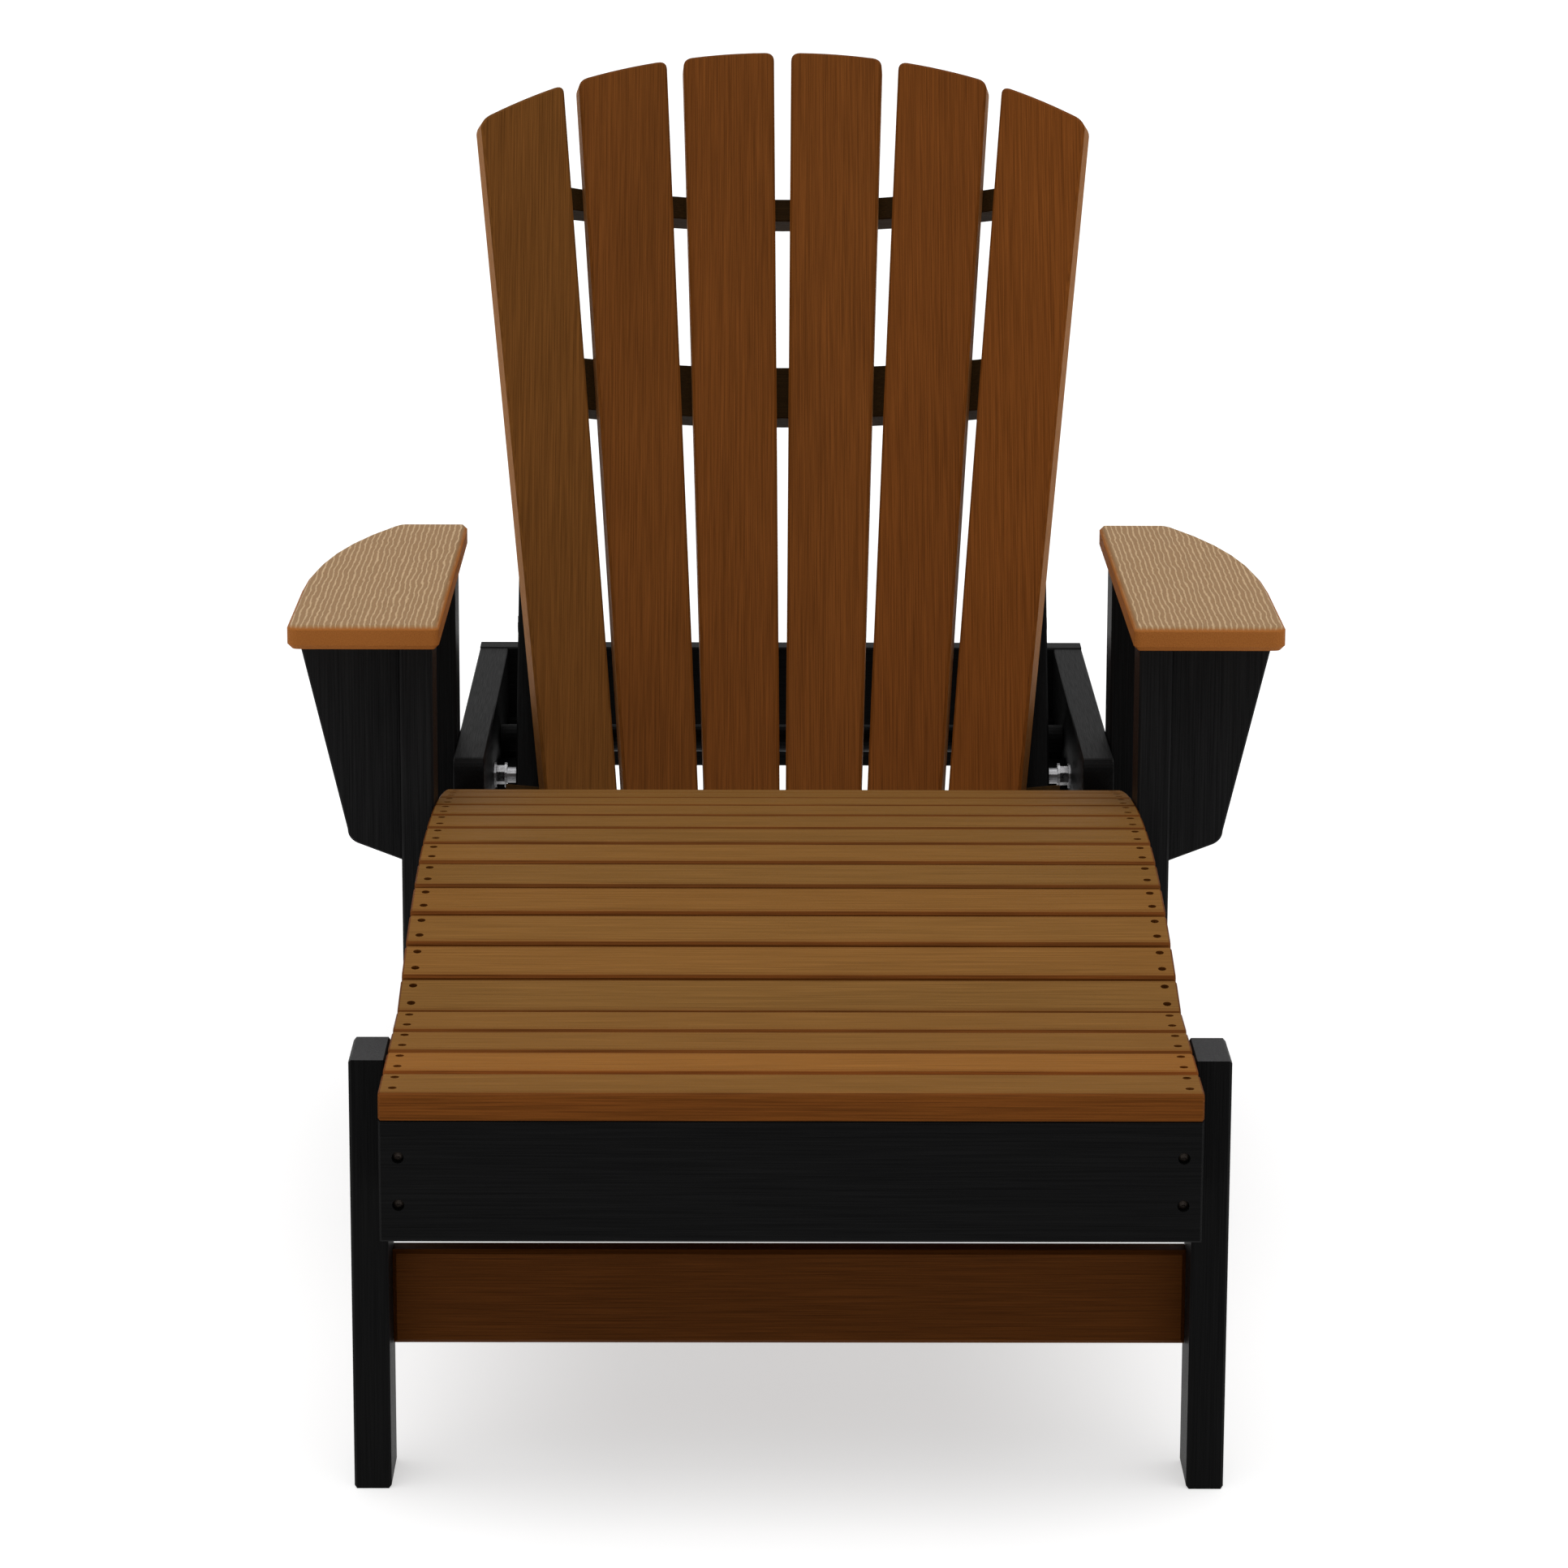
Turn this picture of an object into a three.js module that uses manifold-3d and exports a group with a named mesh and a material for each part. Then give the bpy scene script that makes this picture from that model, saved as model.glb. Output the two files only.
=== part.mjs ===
// Adirondack chaise lounge in plastic lumber: brown slats and arms on a black frame, with a fanned back
// that reclines on two pivot bolts and is held by a prop that drops into notched racks.
// Millimetres, +Z up. The foot end faces -Y, the back leans towards +Y, and the chair is symmetric in X.

import * as THREE from 'three';
import { mergeVertices } from 'three/addons/utils/BufferGeometryUtils.js';
import loadManifold from 'manifold-3d';

// ---------------------------------------------------------------- driving dimensions

const GAP = 0.3; // between pieces that touch
const EDGE = 1.5; // small bevel along sawn edges

// frame lumber
const LUMBER = 28; // thickness of the black frame boards
const FRAME_WIDTH = 600; // over the outer faces of the side rails
const FRAME_LENGTH = 1551; // from the front apron to the rear apron
const LEG_WIDTH = 64; // legs and arm posts, front to back
const FRONT_LEG_Y = 95;
const FRONT_LEG_HEIGHT = 336;
const REAR_LEG_Y = 1090;
const ARM_POST_Y = 728;

// side rails
const RAIL_FRONT_TOP = 317.5;
const RAIL_FRONT_BOTTOM = 232;
const FOOT_LEVEL = 228; // length of the level stretch under the feet
const FOOT_RISE = 14; // slope of the rise towards the knee, degrees
const KNEE_Y = 570;
const KNEE_Z = 367;
const SEAT_END_Y = 1018;
const SEAT_END_Z = 302;
const SEAT_END_FALL = 17; // slope of the seat at its rear end, degrees
const RAIL_REAR_TOP = 354;
const RAIL_BELLY_Y = 1050;
const RAIL_BELLY_Z = 188;
const RAIL_ARCH_Y = 560;
const RAIL_ARCH_Z = 250;
const RAIL_CORNER = 14;
const RAIL_BELLY_EASE = 0.42; // reach of the curve's handles between arch and belly
const RAIL_FRONT_EASE = 0.4; // and between the front end and the arch

// aprons and stretcher
const APRON_HEIGHT = 92;
const REAR_APRON_BOTTOM = 234;
const REAR_APRON_HEIGHT = 121;
const STRETCHER_THICK = 22;
const STRETCHER_HEIGHT = 74;
const STRETCHER_BOTTOM = 102;
const STRETCHER_SETBACK = 38; // behind the front faces of the legs

// seat slats
const SLAT_THICK = 21;
const SLAT_WIDTH = 53.5;
const SLAT_SPACE = 3.5;
const SLAT_COUNT = 18;
const SLAT_ROUND = 6;
const SCREW_RECESS_R = 4.5;
const SLAT_RECESS_R = 3.3;
const SLAT_SCREW_INSET = 10; // from the ends of a slat
const SCREW_RECESS_DEPTH = 6;
const SLAT_SCREW_SPREAD = 28;
const SEAT_RAIL_HEIGHT = 64;

// arms
const ARM_TOP = 546;
const ARM_THICK = 21;
const ARM_FRONT_Y = 683;
const ARM_REAR_Y = 1161;
const ARM_OVERLAP = 8; // inner edge of an arm, inside the rail's outer face
const ARM_FRONT_WIDTH = 128;
const ARM_REAR_WIDTH = 69;
const ARM_STRAIGHT = 170; // straight stretch of the outer edge behind the front corner
const ARM_BEND = 0.55; // where the outer curve's handle sits, along the bent stretch
const ARM_CORNER = 12;
const BRACKET_TOP_WIDTH = 87;
const BRACKET_FOOT_WIDTH = 47;
const BRACKET_TOE_Z = 347;
const BRACKET_HEEL_Z = 328;

// back
const PIVOT_Y = 1212;
const PIVOT_Z = 296;
const RECLINE = 30; // from vertical, at rest
const RECLINE_MAX = 70;
const STILE_SIDE_GAP = 22; // between a rail and the stile beside it
const STILE_WIDTH = 70;
const STILE_BOTTOM = -54;
const STILE_TOP = 600;
const BACK_HOLLOW = 38; // how far the cross rails curve forward from mid-width to the stiles
const BACK_RAIL_DEPTH = 28; // front to back
const STILE_HOUSING = 3; // how deep the stiles are let into the cross rails
const CROSS_RAIL_HEIGHT = 23;
const MID_RAIL_HEIGHT = 52;
const BOTTOM_RAIL_LOW = -52;
const MID_RAIL_LOW = 352;
const TOP_RAIL_LOW = 556;
const BACK_SLAT_COUNT = 6;
const BACK_SLAT_THICK = 22;
const BACK_SLAT_FOOT = -54;
const BACK_SLAT_CROWN = 725; // top of the fan at mid-width
const FAN_FOOT_INSET = 21; // outer edges of the fan's foot, inside the stiles' outer faces
const FAN_FLARE = 171; // how much wider the fan is at its crown than at its foot
const BACK_SLAT_FOOT_SPACE = 7.5;
const BACK_SLAT_TOP_SPACE = 19;
const CROWN_RADIUS = 522;
const CROWN_CORNER = 9;
const RAIL_END_INSET = 11; // ends of the cross rails, inside the fan's outer edges
const RAIL_EAR = 8; // least length of a cross rail beyond a stile

// recline hardware
const BOLT_R = 5;
const BOLT_HEAD_R = 10;
const BOLT_HEAD = 6;
const WASHER_R = 12;
const WASHER = 2;
const NUT_R = 9.2;
const NUT = 8;
const SLEEVE_R = 7.5;
const BOLT_TAIL = 3; // threaded end beyond a nut
const PIN_HEAD_R = 8;
const PIN_HEAD = 1.4;
const PIN_NUT = 5;
const PIN_TAIL = 1;
const OVERRUN = 1; // of a hole beyond the faces it goes through
const MERGE = 0.1; // of joined lengths of a bolt into each other
const PROP_PIVOT = 150; // up the stile from the back's pivot
const PROP_LENGTH = 132; // prop pivot to the middle of the bar
const PROP_THICK = 20;
const PROP_WIDTH = 44;
const BAR_R = 13;
const BAR_LEVEL = 8; // middle of the bar above the back's pivot
const BAR_END_GAP = 1;
const RACK_THICK = 20;
const RACK_HEIGHT = 46;
const RACK_FRONT_END = 50; // plain length ahead of the first notch
const RACK_REAR_END = 13; // plain length behind the last notch
const NOTCH_COUNT = 4;
const NOTCH_R = 15;
const BAR_RISE = 3.6; // clearance that the bar keeps over the teeth as it swings

// ---------------------------------------------------------------- derived places

const rad = THREE.MathUtils.degToRad;
const HALF_FRAME = FRAME_WIDTH / 2;
const RAIL_INNER_X = HALF_FRAME - LUMBER;
const RAIL_MIDDLE_X = HALF_FRAME - LUMBER / 2;
const POST_INNER_X = HALF_FRAME + GAP;
const POST_MIDDLE_X = POST_INNER_X + LUMBER / 2;
const POST_OUTER_X = POST_INNER_X + LUMBER;
const ARM_UNDERSIDE = ARM_TOP - ARM_THICK;
const ARM_INNER_X = HALF_FRAME - ARM_OVERLAP;
const STILE_X = RAIL_INNER_X - STILE_SIDE_GAP;
const STILE_INNER_X = STILE_X - LUMBER;
const STILE_MIDDLE_X = STILE_X - LUMBER / 2;
const BACK_RADIUS = (STILE_MIDDLE_X ** 2 + BACK_HOLLOW ** 2) / (2 * BACK_HOLLOW);
const BACK_DEPTH = STILE_WIDTH / 2 + BACK_RAIL_DEPTH - STILE_HOUSING - BACK_HOLLOW;
const SIDES = [['l', -1], ['r', 1]];

// ---------------------------------------------------------------- materials

function lumber(colour) {
  return new THREE.MeshStandardMaterial({ color: colour, roughness: 0.55, metalness: 0 });
}

const brown = lumber(0x8a5433);
const armBrown = lumber(0x9c6a42);
const black = lumber(0x17171a);
const steel = new THREE.MeshStandardMaterial({ color: 0xb9bcc0, roughness: 0.3, metalness: 1 });

// ---------------------------------------------------------------- solids

const wasm = await loadManifold();
wasm.setup();

function toSolid(geometry) {
  const bare = geometry.clone();
  bare.deleteAttribute('normal');
  bare.deleteAttribute('uv');
  const merged = mergeVertices(bare);
  return new wasm.Manifold(new wasm.Mesh({
    numProp: 3,
    vertProperties: Float32Array.from(merged.attributes.position.array),
    triVerts: Uint32Array.from(merged.index.array),
  }));
}

function toGeometry(solid) {
  const mesh = solid.getMesh();
  const geometry = new THREE.BufferGeometry();
  geometry.setAttribute('position', new THREE.BufferAttribute(Float32Array.from(mesh.vertProperties), 3));
  geometry.setIndex(new THREE.BufferAttribute(Uint32Array.from(mesh.triVerts), 1));
  geometry.computeVertexNormals();
  return geometry;
}

function cut(geometry, tools) {
  const trimmed = tools.reduce((solid, tool) => solid.subtract(toSolid(tool)), toSolid(geometry));
  return toGeometry(trimmed);
}

function join(geometries) {
  const solids = geometries.map(toSolid);
  return toGeometry(solids.reduce((whole, piece) => whole.add(piece)));
}

// A board sawn to an outline in its own x-y plane, from z = 0 to its thickness, with eased edges.
function plate(shape, thickness, edge = EDGE) {
  return new THREE.ExtrudeGeometry(shape, {
    depth: thickness - 2 * edge,
    bevelThickness: edge,
    bevelSize: edge,
    bevelOffset: -edge,
    bevelSegments: 1,
    curveSegments: 6,
  }).translate(0, 0, edge);
}

// Turns a plate so that its outline lies in Y-Z and its thickness runs along X, centred on x.
function alongX(geometry, thickness, x) {
  const turn = new THREE.Matrix4().makeBasis(
    new THREE.Vector3(0, 1, 0),
    new THREE.Vector3(0, 0, 1),
    new THREE.Vector3(1, 0, 0),
  );
  return geometry.applyMatrix4(turn).translate(x - thickness / 2, 0, 0);
}

// Turns a plate so that its outline lies in X-Z and its thickness runs back from y.
function facingFront(geometry, thickness, y) {
  return geometry.rotateX(Math.PI / 2).translate(0, y + thickness, 0);
}

function rectangle(x0, y0, x1, y1) {
  return new THREE.Shape([
    new THREE.Vector2(x0, y0),
    new THREE.Vector2(x1, y0),
    new THREE.Vector2(x1, y1),
    new THREE.Vector2(x0, y1),
  ]);
}

// A round tool or pin along X from x0 to x1, centred on y and z.
function rodX(radius, x0, x1, y, z, sides = 14) {
  const rod = new THREE.CylinderGeometry(radius, radius, Math.abs(x1 - x0), sides);
  return rod.rotateZ(Math.PI / 2).translate((x0 + x1) / 2, y, z);
}

const chair = new THREE.Group();

function addNode(name, geometry, material, parent = chair) {
  const mesh = new THREE.Mesh(geometry, material.clone());
  mesh.name = name;
  parent.add(mesh);
  return mesh;
}

// ---------------------------------------------------------------- side rails

// The line the seat slats rest on: level under the feet, up over the knee, down to the hips.
function seatLine(startY) {
  const rise = rad(FOOT_RISE);
  const fall = rad(SEAT_END_FALL);
  const riseReach = (KNEE_Y - FOOT_LEVEL) / 3;
  const fallReach = (SEAT_END_Y - KNEE_Y) / 3;
  const line = new THREE.Path();
  line.moveTo(startY, RAIL_FRONT_TOP);
  line.lineTo(FOOT_LEVEL, RAIL_FRONT_TOP);
  line.bezierCurveTo(
    FOOT_LEVEL + riseReach * Math.cos(rise), RAIL_FRONT_TOP + riseReach * Math.sin(rise),
    KNEE_Y - riseReach, KNEE_Z,
    KNEE_Y, KNEE_Z,
  );
  line.bezierCurveTo(
    KNEE_Y + fallReach, KNEE_Z,
    SEAT_END_Y - fallReach * Math.cos(fall), SEAT_END_Z + fallReach * Math.sin(fall),
    SEAT_END_Y, SEAT_END_Z,
  );
  return line;
}

const SEAT_LINE_STEPS = 14;
const railFrontY = LUMBER + GAP;
const railRearY = FRAME_LENGTH - LUMBER - GAP;
const seatTopLine = seatLine(railFrontY).getPoints(SEAT_LINE_STEPS);

function sideRail(side) {
  const shape = new THREE.Shape(seatTopLine);
  shape.lineTo(SEAT_END_Y, RAIL_REAR_TOP - RAIL_CORNER);
  shape.quadraticCurveTo(SEAT_END_Y, RAIL_REAR_TOP, SEAT_END_Y + RAIL_CORNER, RAIL_REAR_TOP);
  shape.lineTo(railRearY, RAIL_REAR_TOP);
  shape.lineTo(railRearY, REAR_APRON_BOTTOM);
  const rearReach = (railRearY - RAIL_BELLY_Y) / 3;
  shape.bezierCurveTo(
    railRearY - rearReach, REAR_APRON_BOTTOM - LUMBER,
    RAIL_BELLY_Y + rearReach, RAIL_BELLY_Z,
    RAIL_BELLY_Y, RAIL_BELLY_Z,
  );
  const midReach = (RAIL_BELLY_Y - RAIL_ARCH_Y) * RAIL_BELLY_EASE;
  shape.bezierCurveTo(
    RAIL_BELLY_Y - midReach, RAIL_BELLY_Z,
    RAIL_ARCH_Y + midReach, RAIL_ARCH_Z,
    RAIL_ARCH_Y, RAIL_ARCH_Z,
  );
  const frontReach = (RAIL_ARCH_Y - railFrontY) * RAIL_FRONT_EASE;
  shape.bezierCurveTo(
    RAIL_ARCH_Y - frontReach, RAIL_ARCH_Z,
    railFrontY + frontReach, RAIL_FRONT_BOTTOM,
    railFrontY, RAIL_FRONT_BOTTOM,
  );
  const board = alongX(plate(shape, LUMBER, 1), LUMBER, side * RAIL_MIDDLE_X);
  const ends = [side * (RAIL_INNER_X - OVERRUN), side * (HALF_FRAME + OVERRUN)];
  const boltHole = rodX(BOLT_R + GAP, ...ends, PIVOT_Y, PIVOT_Z);
  return cut(board, [boltHole]);
}

for (const [tag, side] of SIDES) {
  addNode(`side_rail_${tag}`, sideRail(side), black);
}

// ---------------------------------------------------------------- aprons and stretcher

const APRON_SCREW_INSET = 14;
const APRON_SCREW_SPREAD = 36;

function frontApron() {
  const bottom = RAIL_FRONT_TOP - APRON_HEIGHT;
  const outline = rectangle(-HALF_FRAME, bottom, HALF_FRAME, RAIL_FRONT_TOP);
  const board = facingFront(plate(outline, LUMBER), LUMBER, 0);
  const recesses = [];
  for (const x of [-HALF_FRAME + APRON_SCREW_INSET, HALF_FRAME - APRON_SCREW_INSET]) {
    for (const rise of [-APRON_SCREW_SPREAD / 2, APRON_SCREW_SPREAD / 2]) {
      const recess = new THREE.CylinderGeometry(SCREW_RECESS_R, SCREW_RECESS_R, 2 * SCREW_RECESS_DEPTH, 12);
      recesses.push(recess.translate(x, 0, bottom + APRON_HEIGHT / 2 + rise));
    }
  }
  return cut(board, recesses);
}

function rearApron() {
  const top = REAR_APRON_BOTTOM + REAR_APRON_HEIGHT;
  const outline = rectangle(-HALF_FRAME, REAR_APRON_BOTTOM, HALF_FRAME, top);
  return facingFront(plate(outline, LUMBER), LUMBER, FRAME_LENGTH - LUMBER);
}

function stretcher() {
  const top = STRETCHER_BOTTOM + STRETCHER_HEIGHT;
  const outline = rectangle(-HALF_FRAME, STRETCHER_BOTTOM, HALF_FRAME, top);
  return facingFront(plate(outline, STRETCHER_THICK, 3), STRETCHER_THICK, FRONT_LEG_Y + STRETCHER_SETBACK);
}

addNode('front_apron', frontApron(), black);
addNode('rear_apron', rearApron(), black);
addNode('front_stretcher', stretcher(), brown);

// ---------------------------------------------------------------- legs, arm posts and brackets

// An upright outside a side rail.
function upright(side, frontY, bottom, top) {
  const outline = rectangle(frontY, bottom, frontY + LEG_WIDTH, top);
  return alongX(plate(outline, LUMBER, 2), LUMBER, side * POST_MIDDLE_X);
}

// The bracket under the overhang of an arm, with its lower outer corner rounded off.
const BRACKET_CORNER = 8;

function armBracket(side) {
  const inner = POST_OUTER_X + GAP;
  const top = ARM_UNDERSIDE - GAP;
  const shape = new THREE.Shape();
  shape.moveTo(side * inner, BRACKET_HEEL_Z);
  shape.lineTo(side * inner, top);
  shape.lineTo(side * (inner + BRACKET_TOP_WIDTH), top);
  shape.lineTo(side * (inner + BRACKET_FOOT_WIDTH), BRACKET_TOE_Z + BRACKET_CORNER);
  shape.quadraticCurveTo(
    side * (inner + BRACKET_FOOT_WIDTH), BRACKET_TOE_Z,
    side * (inner + BRACKET_FOOT_WIDTH - BRACKET_CORNER), BRACKET_TOE_Z - BRACKET_CORNER / 2,
  );
  const middle = ARM_POST_Y + (LEG_WIDTH - LUMBER) / 2;
  return facingFront(plate(shape, LUMBER), LUMBER, middle);
}

for (const [tag, side] of SIDES) {
  addNode(`front_leg_${tag}`, upright(side, FRONT_LEG_Y, 0, FRONT_LEG_HEIGHT), black);
  addNode(`arm_post_${tag}`, upright(side, ARM_POST_Y, 0, ARM_UNDERSIDE - GAP), black);
  addNode(`rear_leg_${tag}`, upright(side, REAR_LEG_Y, 0, ARM_UNDERSIDE - GAP), black);
  addNode(`arm_bracket_${tag}`, armBracket(side), black);
}

// ---------------------------------------------------------------- arms

function arm(side) {
  const inner = side * ARM_INNER_X;
  const outerFront = side * (ARM_INNER_X + ARM_FRONT_WIDTH);
  const outerRear = side * (ARM_INNER_X + ARM_REAR_WIDTH);
  const corner = side * ARM_CORNER;
  const bendY = ARM_FRONT_Y + ARM_STRAIGHT;
  const shape = new THREE.Shape();
  shape.moveTo(inner + corner / 2, ARM_FRONT_Y);
  shape.lineTo(outerFront - corner, ARM_FRONT_Y);
  shape.quadraticCurveTo(outerFront, ARM_FRONT_Y, outerFront, ARM_FRONT_Y + ARM_CORNER);
  shape.lineTo(outerFront, bendY);
  shape.quadraticCurveTo(
    outerFront, bendY + (ARM_REAR_Y - bendY) * ARM_BEND,
    outerRear, ARM_REAR_Y - ARM_CORNER,
  );
  shape.quadraticCurveTo(outerRear - corner / 2, ARM_REAR_Y, outerRear - corner, ARM_REAR_Y);
  shape.lineTo(inner + corner / 2, ARM_REAR_Y);
  shape.quadraticCurveTo(inner, ARM_REAR_Y, inner, ARM_REAR_Y - ARM_CORNER / 2);
  shape.lineTo(inner, ARM_FRONT_Y + ARM_CORNER / 2);
  shape.quadraticCurveTo(inner, ARM_FRONT_Y, inner + corner / 2, ARM_FRONT_Y);
  return plate(shape, ARM_THICK, 4).translate(0, 0, ARM_UNDERSIDE);
}

for (const [tag, side] of SIDES) {
  addNode(`arm_${tag}`, arm(side), armBrown);
}

// ---------------------------------------------------------------- seat slats

// Cross-section of a seat slat, centred in width, standing on z = 0, with rounded top edges.
function slatSection() {
  const half = SLAT_WIDTH / 2;
  const shape = new THREE.Shape();
  shape.moveTo(-half, 0);
  shape.lineTo(half, 0);
  shape.lineTo(half, SLAT_THICK - SLAT_ROUND);
  shape.quadraticCurveTo(half, SLAT_THICK, half - SLAT_ROUND, SLAT_THICK);
  shape.lineTo(-half + SLAT_ROUND, SLAT_THICK);
  shape.quadraticCurveTo(-half, SLAT_THICK, -half, SLAT_THICK - SLAT_ROUND);
  return shape;
}

// A slat of a given length with two screw recesses over each support.
function seatSlat(length) {
  const screwX = length / 2 - SLAT_SCREW_INSET;
  const board = new THREE.ExtrudeGeometry(slatSection(), {
    depth: length - 2 * EDGE,
    bevelThickness: EDGE,
    bevelSize: EDGE,
    bevelOffset: -EDGE,
    bevelSegments: 1,
    curveSegments: 3,
  }).translate(0, 0, EDGE);
  const recesses = [];
  for (const x of [-screwX, screwX]) {
    for (const y of [-SLAT_SCREW_SPREAD / 2, SLAT_SCREW_SPREAD / 2]) {
      const recess = new THREE.CylinderGeometry(SLAT_RECESS_R, SLAT_RECESS_R, 2 * SCREW_RECESS_DEPTH, 10);
      recesses.push(recess.rotateX(Math.PI / 2).translate(x, y, SLAT_THICK));
    }
  }
  return cut(alongX(board, length, 0), recesses);
}

// Height of the rails' top line at y, from its straight pieces.
function railTopAt(y) {
  const next = seatTopLine.findIndex((p) => p.x > y);
  if (next < 1) {
    return next === 0 ? RAIL_FRONT_TOP : SEAT_END_Z - (y - SEAT_END_Y) * Math.tan(rad(SEAT_END_FALL));
  }
  const a = seatTopLine[next - 1];
  const b = seatTopLine[next];
  return a.y + ((b.y - a.y) * (y - a.x)) / (b.x - a.x);
}

// Where a slat rests: the slope of the rail under it, and the lift that keeps its flat underside clear.
function restingPlace(y) {
  const half = SLAT_WIDTH / 2;
  const slope = Math.atan2(railTopAt(y + half) - railTopAt(y - half), SLAT_WIDTH);
  const base = railTopAt(y);
  let lift = 0;
  for (let step = -1.05; step <= 1.05; step += 0.05) {
    const along = step * half * Math.cos(slope);
    lift = Math.max(lift, railTopAt(y + along) - base - along * Math.tan(slope));
  }
  return { z: base + lift + GAP, slope };
}

// Walks the seat line in even steps, so that the spaces between slats are equal along the curve.
function slatStations(count) {
  const line = seatLine(0);
  const length = line.getLength();
  const pitch = SLAT_WIDTH + SLAT_SPACE;
  const stations = [];
  for (let index = 0; index < count; index += 1) {
    const along = SLAT_WIDTH / 2 + index * pitch;
    const inside = Math.min(along, length);
    const point = line.getPointAt(inside / length);
    stations.push(point.x + (along - inside) * Math.cos(rad(SEAT_END_FALL)));
  }
  return stations;
}

const stations = slatStations(SLAT_COUNT + 1);
const fullSlat = seatSlat(FRAME_WIDTH);

for (let index = 0; index < SLAT_COUNT; index += 1) {
  const place = restingPlace(stations[index]);
  const number = String(index + 1).padStart(2, '0');
  const slat = addNode(`seat_slat_${number}`, fullSlat.clone(), brown);
  slat.position.set(0, stations[index], place.z);
  slat.rotation.x = place.slope;
}

// The last slat fits between the raised ends of the rails and rests on a cross rail of its own.
const rearSlatY = stations[SLAT_COUNT] + SLAT_SPACE;
const rearSlatHalf = RAIL_INNER_X - GAP;
const rearPlace = { z: railTopAt(rearSlatY) + GAP, slope: -rad(SEAT_END_FALL) };
const rearSlat = addNode('seat_slat_rear', seatSlat(2 * rearSlatHalf), brown);
rearSlat.position.set(0, rearSlatY, rearPlace.z);
rearSlat.rotation.x = rearPlace.slope;

const seatRailTop = rearPlace.z - (LUMBER / 2) * Math.tan(rad(SEAT_END_FALL)) - GAP;
const seatRailOutline = rectangle(-rearSlatHalf, seatRailTop - SEAT_RAIL_HEIGHT, rearSlatHalf, seatRailTop);
const seatRail = facingFront(plate(seatRailOutline, LUMBER), LUMBER, rearSlatY - LUMBER / 2);
addNode('seat_rear_rail', seatRail, black);

// ---------------------------------------------------------------- back

// In the back's own frame z runs up the stiles, y points backwards and the pivot is the origin.
const back = new THREE.Group();
back.position.set(0, PIVOT_Y, PIVOT_Z);
back.rotation.x = -rad(RECLINE);
chair.add(back);

const fanFoot = 2 * (STILE_X - FAN_FOOT_INSET);
const fanTop = fanFoot + FAN_FLARE;
const slatFoot = (fanFoot - (BACK_SLAT_COUNT - 1) * BACK_SLAT_FOOT_SPACE) / BACK_SLAT_COUNT;
const slatTop = (fanTop - (BACK_SLAT_COUNT - 1) * BACK_SLAT_TOP_SPACE) / BACK_SLAT_COUNT;
const fanPitchFoot = slatFoot + BACK_SLAT_FOOT_SPACE;
const fanPitchTop = slatTop + BACK_SLAT_TOP_SPACE;
const fanLength = BACK_SLAT_CROWN - BACK_SLAT_FOOT;
const fanAxisY = -(BACK_DEPTH + BACK_RADIUS);

function blend(from, to, z) {
  return from + ((to - from) * (z - BACK_SLAT_FOOT)) / fanLength;
}

// Distance across the fan from mid-width to a slat's middle, and half the slat's width, at height z.
function fanMiddle(order, z) {
  return order * blend(fanPitchFoot, fanPitchTop, z);
}

function fanHalf(z) {
  return blend(slatFoot, slatTop, z) / 2;
}

// Each slat is flat, and touches the hollow of the back along one line.
function slatTurn(order) {
  const middle = (order * (fanPitchFoot + fanPitchTop)) / 2;
  return { middle, angle: middle / BACK_RADIUS };
}

// The point in plan at a distance across the fan, on the rear face of a slat set back by an offset.
function onSlatBack(order, across, offset) {
  const { middle, angle } = slatTurn(order);
  const radius = BACK_RADIUS + offset;
  const side = across - middle;
  return new THREE.Vector2(
    radius * Math.sin(angle) + side * Math.cos(angle),
    fanAxisY + radius * Math.cos(angle) - side * Math.sin(angle),
  );
}

function backSlat(order) {
  const { middle, angle } = slatTurn(order);
  const edge = (sign, z) => fanMiddle(order, z) - middle + sign * fanHalf(z);
  const crownAt = (across) => {
    const x = across + middle;
    return BACK_SLAT_CROWN - CROWN_RADIUS + Math.sqrt(CROWN_RADIUS ** 2 - x ** 2);
  };
  const left = edge(-1, crownAt(edge(-1, BACK_SLAT_CROWN)));
  const right = edge(1, crownAt(edge(1, BACK_SLAT_CROWN)));
  const centre = (left + right) / 2;
  const shape = new THREE.Shape();
  shape.moveTo(edge(-1, BACK_SLAT_FOOT), BACK_SLAT_FOOT);
  shape.lineTo(edge(1, BACK_SLAT_FOOT), BACK_SLAT_FOOT);
  const rightShoulder = crownAt(right) - CROWN_CORNER;
  shape.lineTo(edge(1, rightShoulder), rightShoulder);
  shape.quadraticCurveTo(right, crownAt(right), right - CROWN_CORNER, crownAt(right - CROWN_CORNER));
  shape.quadraticCurveTo(centre, crownAt(centre) + 1, left + CROWN_CORNER, crownAt(left + CROWN_CORNER));
  const leftShoulder = crownAt(left) - CROWN_CORNER;
  shape.quadraticCurveTo(left, crownAt(left), edge(-1, leftShoulder), leftShoulder);
  const board = plate(shape, BACK_SLAT_THICK, 2.5);
  const rear = onSlatBack(order, middle, 0);
  return board.rotateX(Math.PI / 2).rotateZ(-angle).translate(rear.x, rear.y, 0);
}

const slatOrders = Array.from({ length: BACK_SLAT_COUNT }, (_, i) => i - (BACK_SLAT_COUNT - 1) / 2);
slatOrders.forEach((order, index) => {
  addNode(`back_slat_${index + 1}`, backSlat(order), brown, back);
});

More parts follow.
